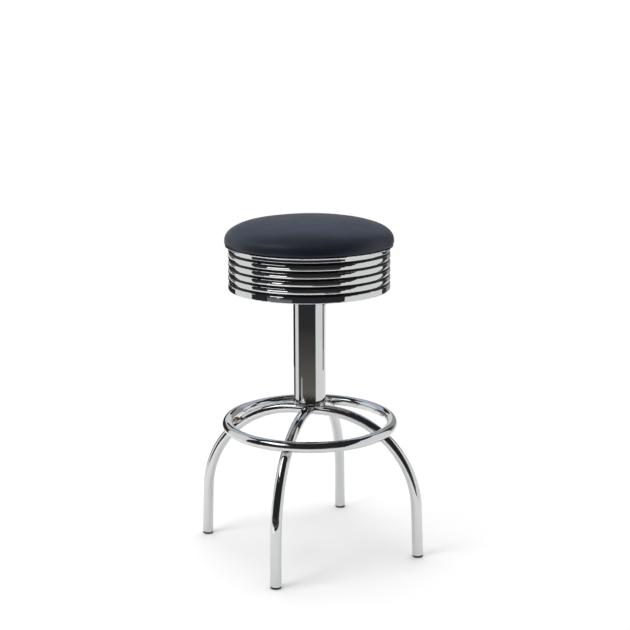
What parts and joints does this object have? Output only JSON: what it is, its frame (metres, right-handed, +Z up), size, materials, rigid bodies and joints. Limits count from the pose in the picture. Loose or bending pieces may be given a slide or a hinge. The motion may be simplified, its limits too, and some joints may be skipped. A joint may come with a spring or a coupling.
{
  "type": "bar stool with footrest",
  "caption": "Round swivelling bar stool: domed vinyl seat in a ribbed chrome band, on a column with curved tube legs and a footrest ring.",
  "frame": {"origin": "on the floor, in the middle of the four feet and under the middle of the column", "axes": "+Z up along the column, which is the seat's turning axis; +X towards the right leg and -Y towards the front leg; the seat band's seam faces +Y at rest"},
  "size_m": [0.5236, 0.5236, 0.751],
  "materials": {
    "chrome_plate": "mirror-bright chromium plating on steel",
    "plated_weld": "plated weld bead with a faint brown heat tint",
    "turned_steel": "machined bare steel, lightly oiled",
    "bearing_steel": "ground and polished bearing steel",
    "zinc_plate": "bright zinc plating, slightly cloudy",
    "spring_steel": "black phosphated spring steel",
    "brass_cage": "stamped sheet brass",
    "white_nylon": "natural white nylon",
    "black_glide": "moulded black polyethylene, satin",
    "black_inlay": "black vinyl strip, satin gloss",
    "black_vinyl": "smooth black upholstery vinyl with a fine grain and a soft sheen",
    "seat_foam": "open-cell upholstery foam",
    "plywood": "bare birch plywood, sanded"
  },
  "bodies": {
    "base": {"side_leg_arch": "chrome_plate", "front_leg": "chrome_plate", "rear_leg": "chrome_plate", "footrest_ring": "chrome_plate", "ring_welds": "plated_weld", "front_glide": "black_glide", "rear_glide": "black_glide", "left_glide": "black_glide", "right_glide": "black_glide", "hub_collar": "chrome_plate", "column_tube": "chrome_plate", "column_foot_plug": "turned_steel", "hub_bolt": "zinc_plate", "bolt_saddle": "zinc_plate", "bearing_housing": "turned_steel", "upper_bush": "white_nylon", "lower_bush_carrier": "turned_steel", "lower_bush": "white_nylon", "lower_race": "bearing_steel"},
    "bearing_cage": {"bearing_balls": "bearing_steel", "ball_cage": "brass_cage"},
    "seat": {"upper_race": "bearing_steel", "spindle": "turned_steel", "seat_plate": "zinc_plate", "plate_bolts": "zinc_plate", "tee_nuts": "zinc_plate", "retaining_washer": "zinc_plate", "circlip": "spring_steel", "seat_board": "plywood", "foam_pad": "seat_foam", "vinyl_cover": "black_vinyl", "cover_staples": "turned_steel", "rib_band": "chrome_plate", "band_inlays": "black_inlay", "band_splice": "zinc_plate", "band_brackets": "zinc_plate", "bracket_screws": "zinc_plate"}
  },
  "joints": [
    {"name": "seat_swivel", "type": "hinge", "parent": "base", "child": "seat", "pos_m": [0, 0, 0.66], "axis": [0, 0, 1], "continuous": true},
    {"name": "cage_turn", "type": "hinge", "parent": "base", "child": "bearing_cage", "pos_m": [0, 0, 0.66], "axis": [0, 0, 1], "continuous": true}
  ],
  "couplings": [
    {"joint": "cage_turn", "follows": "seat_swivel", "ratio": 0.5}
  ]
}
